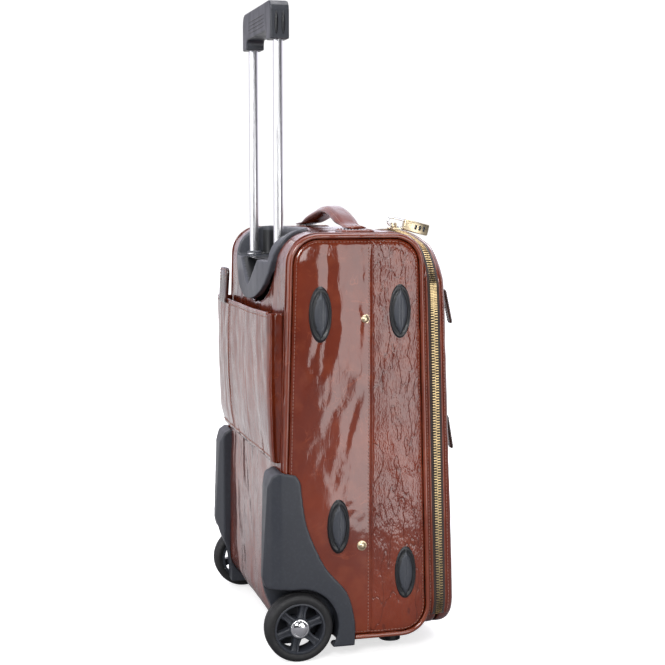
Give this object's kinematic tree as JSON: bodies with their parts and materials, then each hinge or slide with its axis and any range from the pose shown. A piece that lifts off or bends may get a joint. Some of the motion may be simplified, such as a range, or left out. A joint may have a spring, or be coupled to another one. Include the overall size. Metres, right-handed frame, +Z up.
{
  "type": "pilot rolling flight case",
  "caption": "Upright leather pilot case with a zipped front lid, front and back pockets, telescopic trolley handle, top carry handle, padlock on the zip and wheels at the back.",
  "frame": {"origin": "on the floor, at the middle of the whole object's width and depth", "axes": "+X to the case's right side, +Y out of the zipped front lid, -Y out of the trolley side, +Z up"},
  "size_m": [0.3564, 0.2474, 0.772],
  "materials": {
    "leather": "glossy reddish brown, waxed",
    "dark_leather": "dark brown, satin",
    "black_plastic": "moulded, satin",
    "grey_plastic": "moulded, satin",
    "tyre_rubber": "matte",
    "tube_metal": "satin anodised",
    "bright_steel": "polished",
    "brass": "satin"
  },
  "bodies": {
    "case": {"body_shell": "leather", "side_panel_left": "leather", "side_panel_right": "leather", "side_piping_left": "leather", "side_piping_right": "leather", "carry_handle": "leather", "handle_anchor_left": "leather", "handle_anchor_right": "leather", "back_pocket": "leather", "pocket_strap": "dark_leather", "wheel_housing_left": "black_plastic", "wheel_housing_right": "black_plastic", "axle_left": "tube_metal", "axle_right": "tube_metal", "front_foot_left": "black_plastic", "front_foot_right": "black_plastic", "trolley_surround": "grey_plastic", "sleeve_foot_bracket": "grey_plastic", "outer_sleeve_left": "tube_metal", "outer_sleeve_right": "tube_metal", "zip_chain_body": "brass", "side_foot_top_back_left": "black_plastic", "side_foot_top_front_left": "black_plastic", "side_foot_low_back_left": "black_plastic", "side_foot_low_front_left": "black_plastic", "side_foot_top_back_right": "black_plastic", "side_foot_top_front_right": "black_plastic", "side_foot_low_back_right": "black_plastic", "side_foot_low_front_right": "black_plastic", "side_stud_top_left": "brass", "side_stud_low_left": "brass", "side_stud_top_right": "brass", "side_stud_low_right": "brass"},
    "lid": {"front_lid": "leather", "zip_chain_lid": "brass", "front_pocket_upper": "leather", "front_pocket_lower": "leather", "pocket_slider_upper": "brass", "pocket_slider_lower": "brass"},
    "pull_tab_upper": {"pull_tab_upper": "dark_leather"},
    "pull_tab_lower": {"pull_tab_lower": "dark_leather"},
    "middle_stage": {"middle_tube_left": "tube_metal", "middle_tube_right": "tube_metal"},
    "upper_stage": {"upper_tube_left": "tube_metal", "upper_tube_right": "tube_metal", "grip": "black_plastic"},
    "release_button": {"release_button": "grey_plastic"},
    "wheel_left": {"tyre_left": "tyre_rubber", "rim_left": "black_plastic", "hub_cap_left": "bright_steel"},
    "wheel_right": {"tyre_right": "tyre_rubber", "rim_right": "black_plastic", "hub_cap_right": "bright_steel"},
    "zip_lock": {"zip_slider_left": "brass", "zip_slider_right": "brass", "padlock_body": "brass"},
    "shackle": {"padlock_shackle": "bright_steel"},
    "dial_1": {"padlock_dial_1": "black_plastic"},
    "dial_2": {"padlock_dial_2": "black_plastic"},
    "dial_3": {"padlock_dial_3": "black_plastic"}
  },
  "joints": [
    {"name": "lid_hinge", "type": "hinge", "parent": "case", "child": "lid", "pos_m": [0, 0.09169, 0.0217], "axis": [-1, 0, 0], "range_deg": [0, 85]},
    {"name": "pull_tab_upper_swing", "type": "hinge", "parent": "lid", "child": "pull_tab_upper", "pos_m": [0.122, 0.10898, 0.42977], "axis": [1, 0, 0], "range_deg": [0, 110]},
    {"name": "pull_tab_lower_swing", "type": "hinge", "parent": "lid", "child": "pull_tab_lower", "pos_m": [0.122, 0.11341, 0.27684], "axis": [1, 0, 0], "range_deg": [0, 110]},
    {"name": "handle_lower_stage", "type": "slide", "parent": "case", "child": "middle_stage", "axis": [0, 0, 1], "range_m": [0, 0.255]},
    {"name": "handle_upper_stage", "type": "slide", "parent": "middle_stage", "child": "upper_stage", "axis": [0, 0, 1], "range_m": [-0.255, 0]},
    {"name": "release_button_press", "type": "slide", "parent": "upper_stage", "child": "release_button", "axis": [0, 0, 1], "range_m": [-0.0018, 0], "stiffness_N_per_m": 800, "springref_m": 0.0005},
    {"name": "wheel_left_spin", "type": "hinge", "parent": "case", "child": "wheel_left", "pos_m": [0, -0.0827, 0.04], "axis": [1, 0, 0], "continuous": true},
    {"name": "wheel_right_spin", "type": "hinge", "parent": "case", "child": "wheel_right", "pos_m": [0, -0.0827, 0.04], "axis": [1, 0, 0], "continuous": true},
    {"name": "zip_run", "type": "slide", "parent": "case", "child": "zip_lock", "axis": [1, 0, 0], "range_m": [-0.12, 0.08]},
    {"name": "shackle_pull", "type": "slide", "parent": "zip_lock", "child": "shackle", "axis": [0, -0.9703, 0.2419], "range_m": [0, 0.007]},
    {"name": "dial_1_turn", "type": "hinge", "parent": "zip_lock", "child": "dial_1", "pos_m": [0.022, 0.10504, 0.50105], "axis": [0, 0.9703, -0.2419], "continuous": true},
    {"name": "dial_2_turn", "type": "hinge", "parent": "zip_lock", "child": "dial_2", "pos_m": [0.022, 0.11038, 0.49972], "axis": [0, 0.9703, -0.2419], "continuous": true},
    {"name": "dial_3_turn", "type": "hinge", "parent": "zip_lock", "child": "dial_3", "pos_m": [0.022, 0.11571, 0.49839], "axis": [0, 0.9703, -0.2419], "continuous": true}
  ]
}
